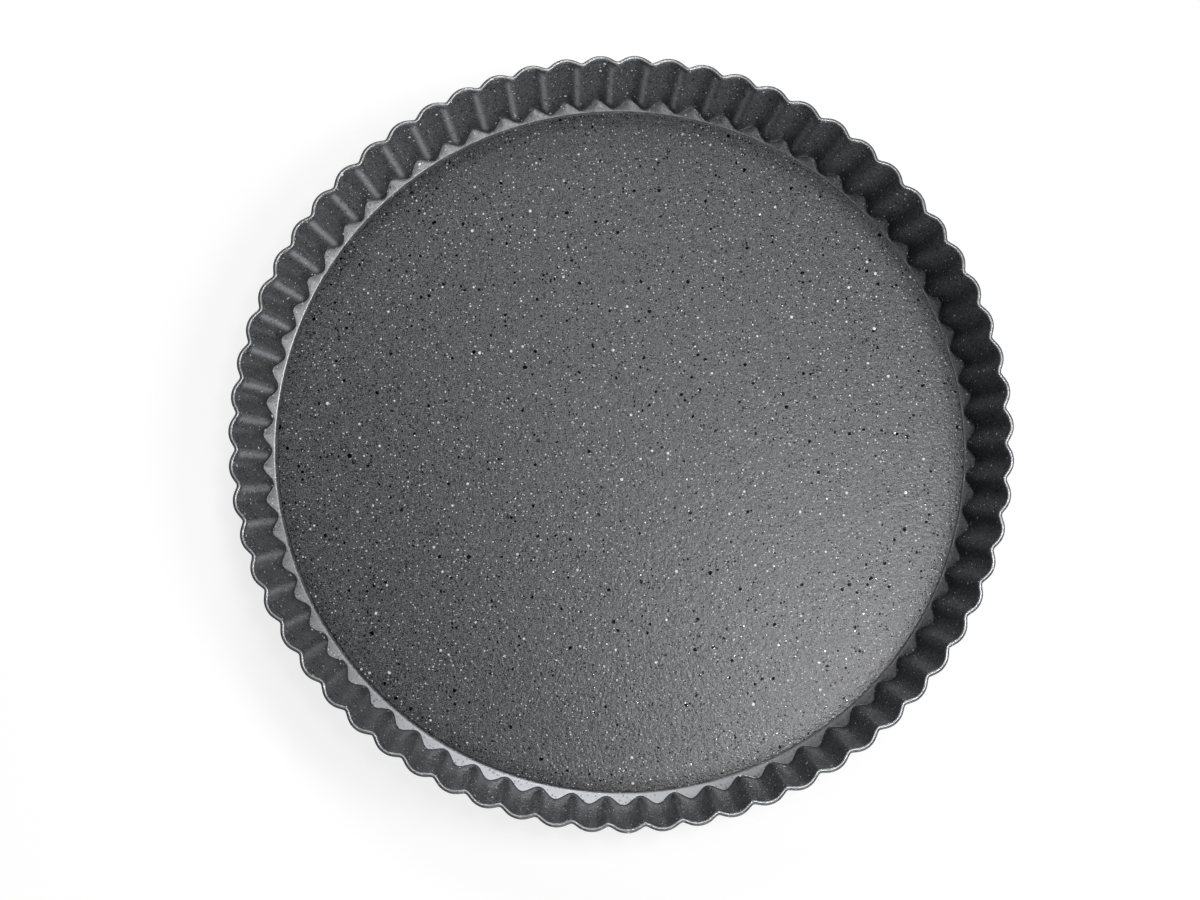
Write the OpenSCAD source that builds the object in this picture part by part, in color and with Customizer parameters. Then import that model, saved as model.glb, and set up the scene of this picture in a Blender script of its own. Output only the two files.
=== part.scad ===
// Loose-bottomed tart tin: a fluted ring pressed from one steel sheet, and a
// flat disc that rests in a shallow seat in the ring and lifts out upwards.
// Millimetres. Origin: centre of the ring's flat underside. +Z is up.

/* [Ring] */
// Outer diameter over the rolled rim, at the crests of the flutes
rim_d = 280; // [260:1:300]
// Height of the ring, from its underside to the top of the rim
ring_h = 25; // [20:0.5:32]
// Lean of the wall from the vertical, in degrees
wall_lean = 21.5; // [10:0.5:24]
// Thickness of the coated sheet that the ring is pressed from
sheet_t = 0.6; // [0.4:0.1:0.8]
// Diameter of the rolled rim
rim_roll_d = 1.8; // [1.6:0.1:2.4]
// Inside radius of the bend at the foot of the wall
bend_r = 0.8; // [0.6:0.1:1.4]

/* [Flutes] */
// Number of flutes round the wall
flute_count = 67; // [48:1:67]
// Depth of a flute at the rim, from its crest to its valley
rim_flute_depth = 2.2; // [1.2:0.1:2.4]
// Depth of a flute at the foot of the wall
foot_flute_depth = 3.2; // [1.2:0.1:3.4]
// Extra width of the crests at the rim, as a share of the depth
crest_fullness = 0.12; // [0:0.01:0.15]
// Rise of the pocket at the foot of each flute, in degrees
pocket_rise = 12; // [0:1:16]

/* [Seat] */
// Height of the step round the disc's seat
step_h = 0.3; // [0.1:0.1:0.5]
// Width of the step's slope
step_w = 0.5; // [0.3:0.1:0.8]
// Width of the flat land between the step and the valleys of the flutes
land_w = 0.25; // [0.2:0.05:0.5]

/* [Loose base] */
// Thickness of the disc
base_t = 1; // [0.8:0.1:1.4]
// Gap between the disc's edge and the step
base_gap = 0.6; // [0.3:0.1:1]
// Width of the ledge under the disc's edge
ledge_w = 7.5; // [5:0.5:10]
// Radius that rounds the disc's edge
base_edge_r = 0.3; // [0.2:0.05:0.4]

/* [Hidden] */
$fn = 96;

// Points along one flute, on the wall and on the land, which needs fewer
flute_steps = 8;
land_steps = 2;
ring_steps = flute_count * flute_steps;
land_points = flute_count * land_steps;

// The wall's inner face is a straight line in section: it leaves the bend
// tangentially and runs into the rolled rim tangentially
floor_z = step_h + sheet_t;
roll_r = rim_roll_d / 2;
roll_z = ring_h - roll_r;
bend_z = floor_z + bend_r;
wall_foot_z = bend_z - bend_r * sin(wall_lean);
wall_top_z = roll_z + roll_r * sin(wall_lean);
wall_top_r = rim_d / 2 - rim_flute_depth / 2 - roll_r * (1 + cos(wall_lean));
wall_foot_r = wall_top_r - (wall_top_z - wall_foot_z) * tan(wall_lean);

// How far the bend carries the sheet inwards
bend_reach = bend_r * cos(wall_lean);

// The rolled rim runs from the wall's inner face over the top to its outer face
roll_start = 180 - wall_lean;
roll_end = roll_start - 360 + acos((roll_r - sheet_t) / roll_r);
roll_angles = [roll_start, (roll_start + 90) / 2, 90, 45, 0, roll_end / 2, roll_end];

// Inwards from the valleys of the flutes: the land, the step, the gap, the
// disc's edge and, under the disc, the opening
land_r = wall_foot_r - foot_flute_depth / 2 - bend_reach;
step_r = land_r - land_w;
seat_r = step_r - step_w;
base_r = seat_r - base_gap;
opening_r = base_r - ledge_w;

// The pockets start this share of the way across the land, and the seat runs
// into the land by this length, so that both are one sheet
pocket_start = 0.6;
seat_lap = 0.05;

// Depth of a flute between the foot (rise 0) and the rim (rise 1)
function depth(rise) = foot_flute_depth + (rim_flute_depth - foot_flute_depth) * rise;

// Outward swing of the sheet at a phase of the flute. The flutes are plain
// waves at the foot, and their crests grow wider towards the rim
function swing(phase, rise) =
    depth(rise) / 2 * (cos(phase) + crest_fullness * rise * (1 - cos(2 * phase)));

// Slope of that wave, in millimetres for each radian round the ring
function swing_slope(phase, rise) =
    flute_count * depth(rise) / 2
    * (2 * crest_fullness * rise * sin(2 * phase) - sin(phase));

// Each flute ends at the foot in a shallow pocket that rises outwards
function lift(phase, rise) =
    tan(pocket_rise) * (swing(phase, rise) + foot_flute_depth / 2) * (1 - rise);

// One closed turn of the sheet. A level is [mean radius, distance from the
// wall's inner face along its horizontal normal, height, rise]
function turn(level) = [
    for (i = [0 : ring_steps - 1])
        let (
            angle = 360 * i / ring_steps,
            phase = 360 * i / flute_steps,
            r = level[0] + swing(phase, level[3]),
            normal = angle - atan(swing_slope(phase, level[3]) / r)
        )
        [
            r * cos(angle) + level[1] * cos(normal),
            r * sin(angle) + level[1] * sin(normal),
            level[2] + lift(phase, level[3])
        ]
];

// The bend at the foot of the wall, on a face of the sheet that lies at the
// given radius from the bend's centre
function bend_levels(r) = [
    for (a = [-90, -wall_lean])
        [wall_foot_r, r * cos(a) - bend_reach, bend_z + r * sin(a), 0]
];

function roll_levels() = [
    for (a = roll_angles)
        [
            wall_top_r,
            roll_r * (cos(a) + cos(wall_lean)),
            roll_z + roll_r * sin(a),
            1
        ]
];

// The circle in which the pockets meet the land, at the given height
function land_circle(z) = [
    for (j = [0 : land_points - 1])
        let (
            angle = 360 * j / land_points,
            r = step_r + land_w * pocket_start
        )
        [r * cos(angle), r * sin(angle), z]
];

// The sheet as pressed: fluted wall, rolled rim, pockets and a floor that is
// still whole
module pressed_pan() {
    levels = concat(
        bend_levels(bend_r),
        roll_levels(),
        reversed(bend_levels(bend_r + sheet_t))
    );
    last = (len(levels) - 1) * ring_steps;
    top_land = len(levels) * ring_steps;
    bottom_land = top_land + land_points;
    top_middle = bottom_land + land_points;
    bottom_middle = top_middle + 1;
    share = flute_steps / land_steps;
    sides = [
        for (j = [0 : len(levels) - 2], i = [0 : ring_steps - 1])
            let (k = (i + 1) % ring_steps)
            each [
                [j * ring_steps + i, j * ring_steps + k, (j + 1) * ring_steps + i],
                [j * ring_steps + k, (j + 1) * ring_steps + k, (j + 1) * ring_steps + i]
            ]
    ];
    // Each point of the land circle fans out to its share of the bend's edge
    pockets = [
        for (i = [0 : ring_steps - 1])
            let (
                k = (i + 1) % ring_steps,
                j = floor((i + share / 2) / share) % land_points
            )
            each [
                [top_land + j, k, i],
                [last + i, last + k, bottom_land + j]
            ]
    ];
    joins = [
        for (j = [0 : land_points - 1])
            let (
                n = (j + 1) % land_points,
                i = j * share + share / 2
            )
            each [
                [top_land + j, top_land + n, i],
                [last + i, bottom_land + n, bottom_land + j]
            ]
    ];
    // Both faces of the floor fan out from their middles, which the seat
    // replaces
    floor_faces = [
        for (j = [0 : land_points - 1])
            let (n = (j + 1) % land_points)
            each [
                [top_middle, top_land + n, top_land + j],
                [bottom_middle, bottom_land + j, bottom_land + n]
            ]
    ];
    polyhedron(
        points = concat(
            [for (level = levels) each turn(level)],
            land_circle(floor_z),
            land_circle(step_h),
            [[0, 0, floor_z], [0, 0, step_h]]
        ),
        faces = concat(sides, pockets, joins, floor_faces),
        convexity = 10
    );
}

// The seat in the floor: the flat ledge that carries the disc round its edge,
// and the step up to the land
module seat() {
    rotate_extrude()
        polygon([
            [opening_r, 0],
            [seat_r, 0],
            [step_r, step_h],
            [step_r + seat_lap, step_h],
            [step_r + seat_lap, floor_z],
            [step_r, floor_z],
            [seat_r, sheet_t],
            [opening_r, sheet_t]
        ]);
}

function reversed(list) = [for (i = [len(list) - 1 : -1 : 0]) list[i]];

// Ring: one pressed sheet, from the rolled rim down to the ledge round the
// open middle
module fluted_ring() {
    color("#45474a")
        union() {
            difference() {
                pressed_pan();
                cylinder(h = 2 * (floor_z + sheet_t), r = step_r, center = true);
            }
            seat();
        }
}

// Loose base: a plain disc with a softly rounded edge, lying on the ledge
module loose_base() {
    rim_r = base_r - base_edge_r;
    color("#55575a")
        translate([0, 0, sheet_t])
            rotate_extrude()
                union() {
                    square([rim_r, base_t]);
                    translate([rim_r, base_edge_r])
                        square([base_edge_r, base_t - 2 * base_edge_r]);
                    for (z = [base_edge_r, base_t - base_edge_r])
                        translate([rim_r, z])
                            circle(r = base_edge_r);
                }
}

fluted_ring();
loose_base();
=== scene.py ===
import math
import bpy
from mathutils import Matrix, Vector


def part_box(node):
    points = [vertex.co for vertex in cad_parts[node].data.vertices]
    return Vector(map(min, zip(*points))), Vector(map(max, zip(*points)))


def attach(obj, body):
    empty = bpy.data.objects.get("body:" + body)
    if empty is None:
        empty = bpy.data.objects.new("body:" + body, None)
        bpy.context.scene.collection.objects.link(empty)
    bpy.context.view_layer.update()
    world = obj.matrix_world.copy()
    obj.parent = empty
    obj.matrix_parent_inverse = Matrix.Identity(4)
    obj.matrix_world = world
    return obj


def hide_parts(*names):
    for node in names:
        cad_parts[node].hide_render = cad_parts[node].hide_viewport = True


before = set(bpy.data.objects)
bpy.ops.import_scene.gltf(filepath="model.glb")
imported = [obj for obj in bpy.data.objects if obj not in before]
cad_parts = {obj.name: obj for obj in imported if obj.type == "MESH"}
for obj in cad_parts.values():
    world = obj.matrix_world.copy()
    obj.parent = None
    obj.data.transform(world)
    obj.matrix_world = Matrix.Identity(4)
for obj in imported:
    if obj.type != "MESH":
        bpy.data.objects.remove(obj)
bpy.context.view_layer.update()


# Camera: it looks down on the pan from the front left, nearly nine degrees off plumb.
# The view is turned two degrees, so that a crest of the fluting stands to the right.
MM = 0.001
CAMERA_PLACE = Vector((-33.8 * MM, -166.6 * MM, 1112.0 * MM))
CAMERA_TILT_X = math.radians(-1.36)
CAMERA_TILT_Y = math.radians(-8.47)
VIEW_TURN = math.radians(-2.0)
SENSOR_WIDTH = 36
LENS = 92.9

away = Vector((math.tan(CAMERA_TILT_X), math.tan(CAMERA_TILT_Y), 1)).normalized()
right = Vector((0, 1, 0)).cross(away).normalized()
up = away.cross(right)
turn = Matrix.Rotation(VIEW_TURN, 4, "Z")
pose = Matrix((right, up, away)).transposed().to_4x4()
pose.translation = CAMERA_PLACE
camera_data = bpy.data.cameras.new("camera")
camera_data.sensor_width = SENSOR_WIDTH
camera_data.lens = LENS
camera_data.clip_start = 0.05
camera_data.clip_end = 20
camera = bpy.data.objects.new("camera", camera_data)
camera.matrix_world = turn @ pose
bpy.context.scene.collection.objects.link(camera)
bpy.context.scene.camera = camera


# Fluted ring: one piece of 0.6 mm steel sheet, pressed into 67 flutes, with the top edge
# curled outwards into a bead and the middle of the floor cut out. Round the opening the
# floor is pressed down by a shallow step, and the loose base lies in it.
SHEET = 0.6 * MM
BEAD_R = 0.9 * MM
BEAD_END = math.radians(-105)
FLUTES = 67
RIM_FLUTE_DEPTH = 2.2 * MM
FOOT_FLUTE_DEPTH = 3.2 * MM
RIM_FULLNESS = 0.12
FOOT_FULLNESS = 0.0
FOOT_TURN_SWING = math.radians(1.2)
FOOT_TURN_SIDE = math.radians(15)
FOOT_TURN_MEAN = math.radians(0.1)
WALL_LEAN = math.radians(21.5)
WALL_BEND_R = 0.8 * MM
POCKET_SLOPE = math.tan(math.radians(20))
LEDGE_WIDTH = 7.5 * MM
BASE_GAP = 0.6 * MM
STEP_HEIGHT = 0.3 * MM
STEP_BEND_R = 0.31 * MM
STEPS_PER_FLUTE = 20
STEPS_ROUND = FLUTES * STEPS_PER_FLUTE
SEAT_BEND_STEPS = 5
LIP_BEND_STEPS = 6
WALL_BEND_STEPS = 8
WALL_ROWS = 9
BEAD_STEPS = 16
CREASE_ANGLE = math.radians(50)

ring_low, ring_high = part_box("fluted_ring")
base_low, base_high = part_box("loose_base")
rim_r = min(-ring_low.x, -ring_low.y, ring_high.x, ring_high.y)
base_r = min(base_high.x, base_high.y)
bead_z = ring_high.z - BEAD_R
floor_z = SHEET + STEP_HEIGHT
bend_z = floor_z + WALL_BEND_R
wall_top_z = bead_z + BEAD_R * math.sin(WALL_LEAN)
wall_foot_z = bend_z - WALL_BEND_R * math.sin(WALL_LEAN)
wall_top_r = rim_r - RIM_FLUTE_DEPTH / 2 - BEAD_R * (1 + math.cos(WALL_LEAN))
wall_foot_r = wall_top_r - (wall_top_z - wall_foot_z) * math.tan(WALL_LEAN)
step_start_r = base_r + BASE_GAP
step_angle = math.acos(1 - STEP_HEIGHT / (2 * STEP_BEND_R))
step_end_r = step_start_r + 2 * STEP_BEND_R * math.sin(step_angle)
opening_r = base_r - LEDGE_WIDTH


def arc(start, end, steps):
    """Angles from start to end, both kept."""
    return [start + (end - start) * i / steps for i in range(steps + 1)]


def round_angles(count):
    """Evenly spaced angles once round the axis."""
    return [2 * math.pi * i / count for i in range(count)]


def flute_swing(phase, rise):
    """How far a flute stands out from the ring's mean radius, and its slope.
    Rise is 0 at the foot and 1 at the rim."""
    depth = FOOT_FLUTE_DEPTH + (RIM_FLUTE_DEPTH - FOOT_FLUTE_DEPTH) * rise
    fullness = FOOT_FULLNESS + (RIM_FULLNESS - FOOT_FULLNESS) * rise
    out = depth / 2 * (math.cos(phase) + fullness * (1 - math.cos(2 * phase)))
    slope = FLUTES * depth / 2 * (2 * fullness * math.sin(2 * phase) - math.sin(phase))
    return out, slope


def flute_phase(angle, rise):
    """Where an angle lies on its flute, 0 on the crest. The feet of the flutes stand a little round
    from their tops."""
    foot_turn = FOOT_TURN_SWING * math.cos(angle - FOOT_TURN_SIDE) + FOOT_TURN_MEAN
    return FLUTES * (angle - foot_turn * (1 - rise))


def wave_level(radius, offset, z, rise):
    """One level of the fluted wall: the mean radius, the distance from it square to the flutes,
    the height, and how far up the wall it lies."""
    points = []
    for angle in round_angles(STEPS_ROUND):
        phase = flute_phase(angle, rise)
        out, slope = flute_swing(phase, rise)
        r = radius + out
        square = angle - math.atan2(slope, r)
        lift = POCKET_SLOPE * (out + FOOT_FLUTE_DEPTH / 2) * (1 - rise)
        points.append((r * math.cos(angle) + offset * math.cos(square),
                       r * math.sin(angle) + offset * math.sin(square),
                       z + lift))
    return points


def round_level(radius, z):
    """One level of the round floor."""
    return [(radius * math.cos(angle), radius * math.sin(angle), z) for angle in round_angles(STEPS_ROUND)]


def step_levels(side):
    """The step in the floor, from the seat outwards: side is 0 on top of the sheet and 1 under it."""
    lower_r = STEP_BEND_R + (side - 0.5) * SHEET
    upper_r = STEP_BEND_R - (side - 0.5) * SHEET
    lower_z = SHEET / 2 + STEP_BEND_R
    upper_z = SHEET / 2 + STEP_HEIGHT - STEP_BEND_R
    levels = [round_level(step_start_r + lower_r * math.sin(a), lower_z - lower_r * math.cos(a))
              for a in arc(0, step_angle, SEAT_BEND_STEPS)]
    levels += [round_level(step_end_r - upper_r * math.sin(a), upper_z + upper_r * math.cos(a))
               for a in arc(step_angle, 0, LIP_BEND_STEPS)][1:]
    return levels


def bend_levels(radius):
    """The bend from the floor up to the wall."""
    reach = WALL_BEND_R * math.cos(WALL_LEAN)
    return [wave_level(wall_foot_r, radius * math.cos(a) - reach, bend_z + radius * math.sin(a), 0)
            for a in arc(-math.pi / 2, -WALL_LEAN, WALL_BEND_STEPS)]


def wall_level(share, out):
    """One level of the wall, out from its inner face."""
    z = wall_foot_z + (wall_top_z - wall_foot_z) * share
    r = wall_foot_r + (wall_top_r - wall_foot_r) * share
    return wave_level(r, out * math.cos(WALL_LEAN), z - out * math.sin(WALL_LEAN), share)


def bead_levels(radius, start, end, steps):
    """The curled edge, round the middle of the bead."""
    middle = BEAD_R * math.cos(WALL_LEAN)
    return [wave_level(wall_top_r, middle + radius * math.cos(a), bead_z + radius * math.sin(a), 1)
            for a in arc(start, end, steps)]


bead_start = math.pi - WALL_LEAN
bead_hollow_r = BEAD_R - SHEET
levels = [round_level(opening_r, 0)]
levels += step_levels(1)
levels += bend_levels(WALL_BEND_R + SHEET)
levels += [wall_level(i / WALL_ROWS, SHEET) for i in range(1, WALL_ROWS)]
levels += bead_levels(bead_hollow_r, bead_start, BEAD_END, BEAD_STEPS // 2)
bead_first = len(levels)
levels += reversed(bead_levels(BEAD_R, bead_start, BEAD_END, BEAD_STEPS))
wall_first = len(levels)
levels += [wall_level(i / WALL_ROWS, 0) for i in range(WALL_ROWS - 1, 0, -1)]
bend_first = len(levels)
levels += reversed(bend_levels(WALL_BEND_R))
step_first = len(levels)
levels += reversed(step_levels(0))
levels += [round_level(opening_r, SHEET)]

# Painted light and shade on the ring's coat. Painted highlights make it paler along one side of each flute
# at the back left, and a painted sheen makes the pockets between the step and the wall paler, most at the
# front. Pale steel along the top of the step is a painted highlight line, along the top of the bead it is
# worn steel and a painted highlight, and painted shade darkens the corner at the foot of the wall.
# Painted highlights along one side of each flute.
STRIPE_PHASE = math.radians(235)
STRIPE_WIDTH = math.radians(28)
STRIPE_SIDE = math.radians(132)
STRIPE_FADE = 0.7
STRIPE_STRENGTH = 2.0
# Painted sheen in the pockets.
POCKET_SIDE = math.radians(165)
POCKET_SIDE_FADE = 0.5
POCKET_SIDE_STRENGTH = 0.85
POCKET_FRONT = math.radians(258)
POCKET_FRONT_WIDTH = math.radians(32)
POCKET_FRONT_STRENGTH = 5.5
# A painted highlight line along the top of the step, laid on in pale steel, by mesh level.
STEP_HIGHLIGHT = (0.1, 0.35, 0.5, 0.5, 0.3)
# Worn steel and a painted highlight along the top of the bead, by mesh level.
BEAD_WEAR_AND_HIGHLIGHT = (0.4, 0.7, 0.4)
# Painted shade in the corner at the foot of the wall, by mesh level.
PAINTED_CORNER_SHADE = (-0.1, -0.22, -0.32, -0.32, -0.32, -0.3, -0.2)

# The levels of the mesh at which the marks start, and at which the painted pocket sheen ends.
bead_top = bead_first + BEAD_STEPS - 5
corner_top = bend_first - 2
pocket_top = bend_first + 5
pocket_end = step_first + 8


def on_side(angle, side, fade):
    """1 on one side of the tin, falling to 0 a quarter turn away."""
    return max(0, math.cos(angle - side)) ** fade


def painted_flute_highlights(rise):
    """How much paler the coat is painted along the flutes at one height: painted highlights."""
    shades = []
    for angle in round_angles(STEPS_ROUND):
        off_line = (flute_phase(angle, rise) - STRIPE_PHASE + math.pi) % (2 * math.pi) - math.pi
        stripe = math.exp(-(off_line / STRIPE_WIDTH) ** 2)
        shades.append(STRIPE_STRENGTH * stripe * on_side(angle, STRIPE_SIDE, STRIPE_FADE))
    return shades


def painted_pocket_sheen():
    """How much paler the coat is painted in the pockets: a painted sheen."""
    shades = []
    for angle in round_angles(STEPS_ROUND):
        front = math.exp(-((angle - POCKET_FRONT) / POCKET_FRONT_WIDTH) ** 2)
        side = on_side(angle, POCKET_SIDE, POCKET_SIDE_FADE)
        shades.append(POCKET_SIDE_STRENGTH * side + POCKET_FRONT_STRENGTH * front)
    return shades


# Pale steel (a painted highlight and wear) and painted light and shade in the coat's tone, for each point.
steel_and_highlight = [[0.0] * STEPS_ROUND for level in levels]
painted_light = [[0.0] * STEPS_ROUND for level in levels]
# Pale steel: a painted highlight along the step, and worn steel with a painted highlight along the bead.
for k, steel_share in enumerate(STEP_HIGHLIGHT):
    steel_and_highlight[step_first + k] = [steel_share] * STEPS_ROUND
for k, steel_share in enumerate(BEAD_WEAR_AND_HIGHLIGHT):
    steel_and_highlight[bead_top + k] = [steel_share] * STEPS_ROUND
# Painted sheen in the pockets.
for k in range(pocket_top, pocket_end):
    painted_light[k] = painted_pocket_sheen()
# Painted highlights along the flutes.
for k in range(WALL_ROWS - 1):
    painted_light[wall_first + k] = painted_flute_highlights((WALL_ROWS - 1 - k) / WALL_ROWS)
# Painted shade in the corner at the foot of the wall.
for k, painted_shade in enumerate(PAINTED_CORNER_SHADE, corner_top):
    painted_light[k] = [shade + painted_shade for shade in painted_light[k]]


def finished_piece(name, points, faces):
    """An object from a mesh, smooth but for its creases."""
    mesh = bpy.data.meshes.new(name)
    mesh.from_pydata(points, [], faces)
    mesh.validate()
    mesh.shade_smooth()
    mesh.set_sharp_from_angle(angle=CREASE_ANGLE)
    piece = bpy.data.objects.new(name, mesh)
    bpy.context.scene.collection.objects.link(piece)
    return piece


def closed_band(name, levels, marks):
    """A mesh from levels of points that lie round the axis, joined into a closed ring.
    Marks are values for each point, by name."""
    count = len(levels[0])
    points = [p for level in levels for p in level]
    faces = []
    for k in range(len(levels)):
        here = k * count
        above = (k + 1) % len(levels) * count
        for i in range(count):
            j = (i + 1) % count
            faces.append((here + i, here + j, above + j, above + i))
    piece = finished_piece(name, points, faces)
    for mark, values in marks.items():
        attribute = piece.data.attributes.new(mark, "FLOAT", "POINT")
        attribute.data.foreach_set("value", [value for level in values for value in level])
    return piece


ring = closed_band("pan_ring", levels, {"steel_and_highlight": steel_and_highlight, "painted_light": painted_light})


# Speckled coating: the dark grey non-stick coat that is sprayed on both pieces and baked.
# Round black and white flecks of all sizes lie in it, over a fine grain. Painted light and shade make the
# coat paler or darker in places, and it turns to pale steel where it is worn bare and where a highlight line
# is painted.
GRAINS_PER_METRE = 900
GRAIN_DETAIL = 2
GRAIN_HEIGHT = 0.1 * MM
DUST_PER_METRE = 2600
DUST_DETAIL = 0
DUST_SHARE = 2.2
NOISE_ROUGHNESS = 0.6
# How strongly the painted light and shade change the coat's tone.
PAINTED_LIGHT_GAIN = 1.7
BLACK_FLECK = (0.004, 0.004, 0.005, 1)
BLACK_FLECK_R = 0.50 * MM
BLACK_CELLS_PER_METRE = 760
BLACK_SEED = 0.31
BLACK_STRENGTH = 3.0
WHITE_FLECK = (0.85, 0.86, 0.88, 1)
WHITE_FLECK_R = 0.31 * MM
WHITE_CELLS_PER_METRE = 700
WHITE_SEED = 0.0
WHITE_STRENGTH = 0.48
SMALLEST_FLECK = 0.45
FLECK_SPREAD = 0.45
LARGE_FLECK_RARITY = 60
FLECK_SHARPNESS = 9.0
# Pale steel colour: a painted highlight line on the step, and worn steel with a painted highlight on the
# bead.
PALE_STEEL_HIGHLIGHT = (0.62, 0.63, 0.64, 1)


def math_node(tree, kind, *values):
    """One step of arithmetic on numbers and on what other nodes put out."""
    node = tree.nodes.new("ShaderNodeMath")
    node.operation = kind
    for socket, value in zip(node.inputs, values):
        if isinstance(value, (int, float)):
            socket.default_value = value
        else:
            tree.links.new(value, socket)
    return node.outputs[0]


def noise(tree, place, per_metre, detail):
    """A soft random pattern that runs from 0 to 1."""
    node = tree.nodes.new("ShaderNodeTexNoise")
    node.inputs["Scale"].default_value = per_metre
    node.inputs["Detail"].default_value = detail
    node.inputs["Roughness"].default_value = NOISE_ROUGHNESS
    tree.links.new(place, node.inputs["Vector"])
    return node.outputs["Fac"]


def flecks(tree, place, per_metre, radius, seed, strength):
    """Round flecks of uneven size, one to a cell. Most are faint and few are strong."""
    shift = tree.nodes.new("ShaderNodeVectorMath")
    shift.operation = "ADD"
    shift.inputs[1].default_value = (seed, seed * 0.7, seed * 0.3)
    tree.links.new(place, shift.inputs[0])
    cells = tree.nodes.new("ShaderNodeTexVoronoi")
    cells.inputs["Scale"].default_value = per_metre
    tree.links.new(shift.outputs[0], cells.inputs["Vector"])
    chance = tree.nodes.new("ShaderNodeSeparateColor")
    tree.links.new(cells.outputs["Color"], chance.inputs[0])
    usual = math_node(tree, "MULTIPLY_ADD", chance.outputs[0], FLECK_SPREAD, SMALLEST_FLECK)
    large = math_node(tree, "POWER", chance.outputs[0], LARGE_FLECK_RARITY)
    size = math_node(tree, "ADD", usual, large)
    reach = math_node(tree, "MULTIPLY", size, radius * per_metre)
    inside = math_node(tree, "SUBTRACT", reach, cells.outputs["Distance"])
    steep = math_node(tree, "MULTIPLY", inside, FLECK_SHARPNESS / (radius * per_metre))
    fleck = tree.nodes.new("ShaderNodeClamp")
    tree.links.new(steep, fleck.inputs[0])
    rarity = math_node(tree, "LOGARITHM", chance.outputs[2], math.e)
    shown = math_node(tree, "MINIMUM", math_node(tree, "MULTIPLY", rarity, -strength), 1.0)
    return math_node(tree, "MULTIPLY", fleck.outputs[0], shown)


def laid_over(tree, under, colour, amount):
    """A colour over what lies under it, as strong as the amount says."""
    node = tree.nodes.new("ShaderNodeMix")
    node.data_type = "RGBA"
    tree.links.new(amount, node.inputs[0])
    tree.links.new(under, node.inputs[6])
    node.inputs[7].default_value = colour
    return node.outputs[2]


def toned_coat(tree, given, grain, dust):
    """The coat without its flecks: its colour, uneven with grain and dust, and paler or darker where light
    and shade are painted in.
    Where light is painted in it is also more even."""
    grain_off = math_node(tree, "SUBTRACT", grain, 0.5)
    dust_off = math_node(tree, "SUBTRACT", dust, 0.5)
    both_off = math_node(tree, "MULTIPLY_ADD", dust_off, DUST_SHARE, grain_off)
    painted_tone_gain = math_node(tree, "MULTIPLY_ADD", given.outputs["Painted_light"], PAINTED_LIGHT_GAIN, 1.0)
    calming = math_node(tree, "MAXIMUM", painted_tone_gain, 1.0)
    grain_kept = math_node(tree, "DIVIDE", given.outputs["Grain"], calming)
    grain_gain = math_node(tree, "MULTIPLY", both_off, grain_kept)
    unevenness = math_node(tree, "MULTIPLY_ADD", grain_gain, 2.0, 1.0)
    toned = tree.nodes.new("ShaderNodeVectorMath")
    toned.operation = "SCALE"
    tree.links.new(given.outputs["Coat Color"], toned.inputs[0])
    tree.links.new(math_node(tree, "MULTIPLY", unevenness, painted_tone_gain), toned.inputs["Scale"])
    return toned.outputs[0]


def speckled_coating():
    """The node group that both coats use."""
    tree = bpy.data.node_groups.new("speckled coating", "ShaderNodeTree")
    tree.interface.new_socket(name="Coat Color", in_out="INPUT", socket_type="NodeSocketColor")
    for name in ("White Flecks", "Black Flecks", "Grain", "Steel_and_highlight", "Painted_light"):
        tree.interface.new_socket(name=name, in_out="INPUT", socket_type="NodeSocketFloat")
    tree.interface.new_socket(name="Color", in_out="OUTPUT", socket_type="NodeSocketColor")
    for name in ("Metallic", "Height"):
        tree.interface.new_socket(name=name, in_out="OUTPUT", socket_type="NodeSocketFloat")
    given = tree.nodes.new("NodeGroupInput")
    result = tree.nodes.new("NodeGroupOutput")
    place = tree.nodes.new("ShaderNodeTexCoord").outputs["Object"]

    grain = noise(tree, place, GRAINS_PER_METRE, GRAIN_DETAIL)
    dust = noise(tree, place, DUST_PER_METRE, DUST_DETAIL)
    colour = toned_coat(tree, given, grain, dust)
    black = flecks(tree, place, BLACK_CELLS_PER_METRE, BLACK_FLECK_R, BLACK_SEED, BLACK_STRENGTH)
    black_amount = math_node(tree, "MULTIPLY", black, given.outputs["Black Flecks"])
    colour = laid_over(tree, colour, BLACK_FLECK, black_amount)
    white = flecks(tree, place, WHITE_CELLS_PER_METRE, WHITE_FLECK_R, WHITE_SEED, WHITE_STRENGTH)
    white_amount = math_node(tree, "MULTIPLY", white, given.outputs["White Flecks"])
    colour = laid_over(tree, colour, WHITE_FLECK, white_amount)
    # Pale steel where the coat is worn bare and where a highlight line is painted.
    colour = laid_over(tree, colour, PALE_STEEL_HIGHLIGHT, given.outputs["Steel_and_highlight"])
    metal = math_node(tree, "MAXIMUM", black_amount, given.outputs["Steel_and_highlight"])
    tree.links.new(colour, result.inputs["Color"])
    tree.links.new(metal, result.inputs["Metallic"])
    tree.links.new(grain, result.inputs["Height"])
    return tree


coating = speckled_coating()


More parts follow.
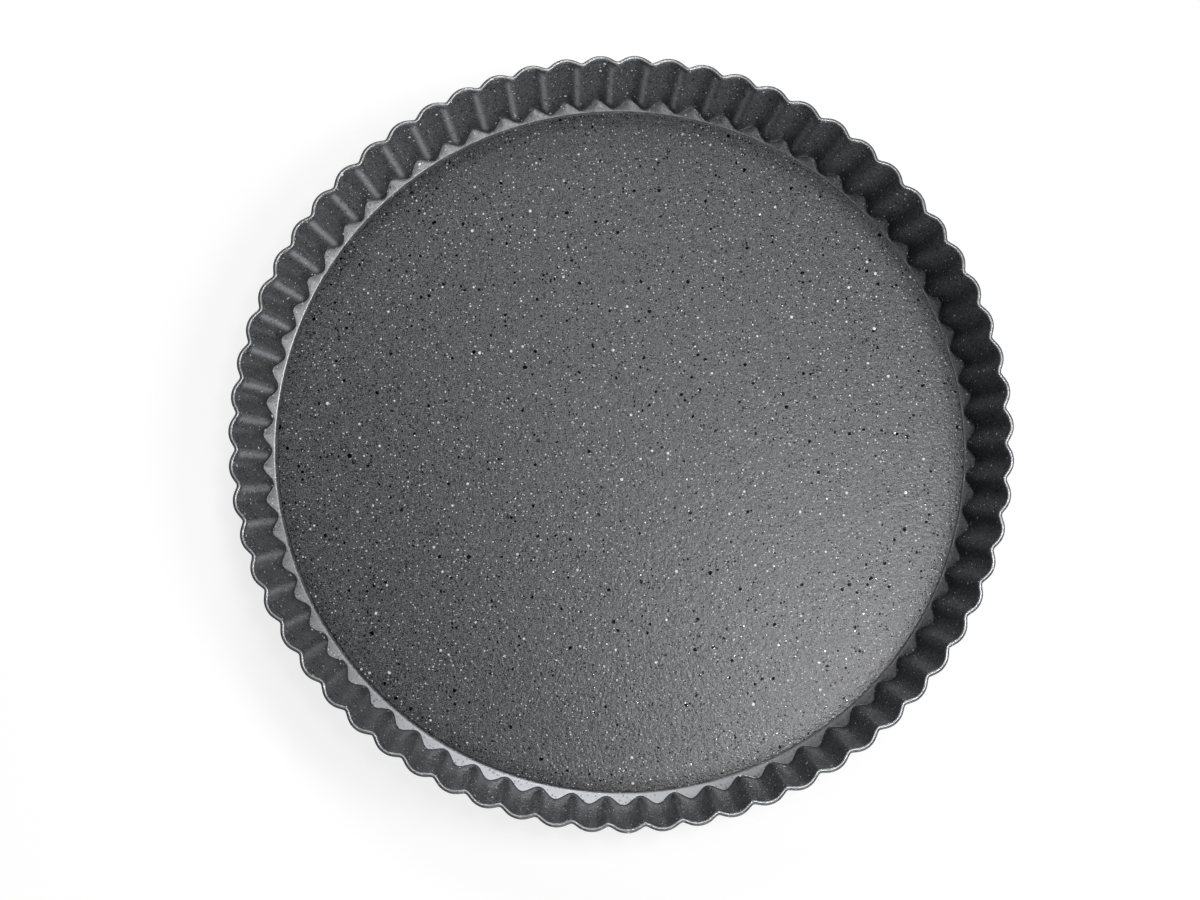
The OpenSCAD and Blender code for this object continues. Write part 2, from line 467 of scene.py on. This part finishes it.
def coated_steel(name, colour, white, black, grain, roughness, marks=()):
    """The coat's material; marks are the values kept on the mesh that change it from place to place."""
    material = bpy.data.materials.new(name)
    material.use_nodes = True
    nodes, links = material.node_tree.nodes, material.node_tree.links
    shader = nodes["Principled BSDF"]
    shader.inputs["Roughness"].default_value = roughness
    coat = nodes.new("ShaderNodeGroup")
    coat.node_tree = coating
    coat.inputs["Coat Color"].default_value = colour
    coat.inputs["White Flecks"].default_value = white
    coat.inputs["Black Flecks"].default_value = black
    coat.inputs["Grain"].default_value = grain
    for mark in marks:
        attribute = nodes.new("ShaderNodeAttribute")
        attribute.attribute_name = mark
        links.new(attribute.outputs["Fac"], coat.inputs[mark.capitalize()])
    bump = nodes.new("ShaderNodeBump")
    bump.inputs["Strength"].default_value = 1.0
    bump.inputs["Distance"].default_value = GRAIN_HEIGHT
    links.new(coat.outputs["Height"], bump.inputs["Height"])
    links.new(bump.outputs["Normal"], shader.inputs["Normal"])
    links.new(coat.outputs["Color"], shader.inputs["Base Color"])
    links.new(coat.outputs["Metallic"], shader.inputs["Metallic"])
    return material


RING_COAT = (0.075, 0.077, 0.082, 1)
ring_coating = coated_steel("ring coating", RING_COAT, white=1.3, black=0.4, grain=0.5,
                            roughness=0.25, marks=("steel_and_highlight", "painted_light"))
ring.data.materials.append(ring_coating)
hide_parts("fluted_ring")
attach(ring, "ring")


# Loose base: a flat round plate of 1 mm steel with the same coating, its edge rounded.
# It only lies in the ring's floor, so that the tart can be pushed up out of the ring.
BASE_EDGE_R = 0.3 * MM
BASE_EDGE_STEPS = 5
BASE_STEPS_ROUND = 256
BASE_RINGS = (0.05, 0.2, 0.4, 0.6, 0.8, 0.95)
BASE_SHIFT = Vector((0.45 * MM, -0.15 * MM, 0))
BASE_COAT = (0.09, 0.092, 0.098, 1)


def base_levels():
    """The plate's section, from the middle of its underside round its edge to the middle of its top."""
    bottom, top = base_low.z, base_high.z
    edge = base_r - BASE_EDGE_R
    radii = [base_r * share for share in BASE_RINGS]
    levels = [(r, bottom) for r in radii]
    quarter = arc(0, math.pi / 2, BASE_EDGE_STEPS)
    levels += [(edge + BASE_EDGE_R * math.sin(a), bottom + BASE_EDGE_R * (1 - math.cos(a))) for a in quarter]
    levels += [(edge + BASE_EDGE_R * math.cos(a), top - BASE_EDGE_R * (1 - math.sin(a))) for a in quarter]
    levels += [(r, top) for r in reversed(radii)]
    return levels


def turned_plate(name, levels, count):
    """A round plate from the radii and heights of its section, with a flat cap at each end."""
    points = []
    faces = []
    for r, z in levels:
        points += [(r * math.cos(angle), r * math.sin(angle), z) for angle in round_angles(count)]
    for k in range(len(levels) - 1):
        for i in range(count):
            j = (i + 1) % count
            faces.append((k * count + i, k * count + j, (k + 1) * count + j, (k + 1) * count + i))
    last = (len(levels) - 1) * count
    faces.append(tuple(reversed(range(count))))
    faces.append(tuple(last + i for i in range(count)))
    return finished_piece(name, points, faces)


base = turned_plate("pan_base", base_levels(), BASE_STEPS_ROUND)
base.data.transform(Matrix.Translation(BASE_SHIFT))
base_coating = coated_steel("base coating", BASE_COAT, white=1.0, black=1.0, grain=0.85, roughness=0.225)
base.data.materials.append(base_coating)
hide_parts("loose_base")
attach(base, "base")


# Floor: a plain white table that runs out of view on all sides. The camera sees it paler
# than it is, so that only the shadow close to the pan shows, and from below it isn't there.
FLOOR_SIZE = 6.0
FLOOR_DROP = 0.02 * MM
FLOOR_WHITE = 0.86
SEEN_SHADING = (0.30, 0.0)
SEEN_GLOW = (0.785, 1.0)
NEAR_PAN = 0.4
FAR_FROM_PAN = 1.1
mesh = bpy.data.meshes.new("table_top")
half = FLOOR_SIZE / 2
corners = [(-half, -half, 0), (half, -half, 0), (half, half, 0), (-half, half, 0)]
mesh.from_pydata(corners, [], [(0, 1, 2, 3)])
table_top = bpy.data.objects.new("table_top", mesh)
table_top.location.z = -FLOOR_DROP
bpy.context.scene.collection.objects.link(table_top)
white_table = bpy.data.materials.new("white table")
white_table.use_nodes = True
table_tree = white_table.node_tree
shader = table_tree.nodes["Principled BSDF"]
shader.inputs["Roughness"].default_value = 0.9
shader.inputs["Specular IOR Level"].default_value = 0.1
shader.inputs["Emission Color"].default_value = (1, 1, 1, 1)
seen = table_tree.nodes.new("ShaderNodeLightPath").outputs["Is Camera Ray"]
geometry = table_tree.nodes.new("ShaderNodeNewGeometry")
from_pan = table_tree.nodes.new("ShaderNodeVectorMath")
from_pan.operation = "LENGTH"
table_tree.links.new(geometry.outputs["Position"], from_pan.inputs[0])


def table_level(near, far):
    """A value that goes from near to far as the table runs away from the pan."""
    node = table_tree.nodes.new("ShaderNodeMapRange")
    node.interpolation_type = "SMOOTHSTEP"
    node.inputs["From Min"].default_value = NEAR_PAN
    node.inputs["From Max"].default_value = FAR_FROM_PAN
    node.inputs["To Min"].default_value = near
    node.inputs["To Max"].default_value = far
    table_tree.links.new(from_pan.outputs["Value"], node.inputs["Value"])
    return node.outputs[0]


grey = table_tree.nodes.new("ShaderNodeMapRange")
grey.inputs["To Min"].default_value = FLOOR_WHITE
table_tree.links.new(table_level(*SEEN_SHADING), grey.inputs["To Max"])
table_tree.links.new(seen, grey.inputs["Value"])
table_tree.links.new(grey.outputs[0], shader.inputs["Base Color"])
glow = math_node(table_tree, "MULTIPLY", seen, table_level(*SEEN_GLOW))
table_tree.links.new(glow, shader.inputs["Emission Strength"])
from_above = math_node(table_tree, "SUBTRACT", 1.0, geometry.outputs["Backfacing"])
table_tree.links.new(from_above, shader.inputs["Alpha"])
mesh.materials.append(white_table)


# Studio light: a room that is white to the camera and dark to everything else, and six softboxes.
world = bpy.data.worlds.new("studio")
bpy.context.scene.world = world
bpy.context.scene.view_settings.view_transform = "Standard"
world.use_nodes = True
room = world.node_tree.nodes["Background"]
room.inputs["Color"].default_value = (1, 1, 1, 1)
seen = world.node_tree.nodes.new("ShaderNodeLightPath").outputs["Is Camera Ray"]
world.node_tree.links.new(seen, room.inputs["Strength"])

SOFTBOXES = [
    # name, bearing from +X, height above the table, width, depth, radiance
    ("overhead softbox", 16, 79.0, 0.53, 0.43, 2.3),
    ("overhead front spot", 352, 78.8, 0.22, 0.22, 13.0),
    ("overhead back spot", 88, 73.7, 0.24, 0.24, 2.05),
    ("right softbox", 0, 46, 0.42, 0.42, 12.0),
    ("back softbox", 90, 38, 0.42, 0.42, 11.9),
    ("front strip", 285, 14, 1.07, 0.42, 6.4),
]
SOFTBOX_REACH = 1.3


def softbox(name, bearing, height, width, depth, radiance):
    """One lamp, turned towards the pan. The camera doesn't see it."""
    data = bpy.data.lights.new(name, "AREA")
    data.shape = "RECTANGLE"
    data.size = width
    data.size_y = depth
    data.energy = radiance * math.pi * width * depth
    lamp = bpy.data.objects.new(name, data)
    bearing, height = math.radians(bearing), math.radians(height)
    out = Vector((math.cos(bearing) * math.cos(height),
                  math.sin(bearing) * math.cos(height),
                  math.sin(height)))
    lamp.location = out * SOFTBOX_REACH
    lamp.rotation_mode = "QUATERNION"
    lamp.rotation_quaternion = out.to_track_quat("Z", "Y")
    lamp.visible_camera = False
    bpy.context.scene.collection.objects.link(lamp)


for row in SOFTBOXES:
    softbox(*row)
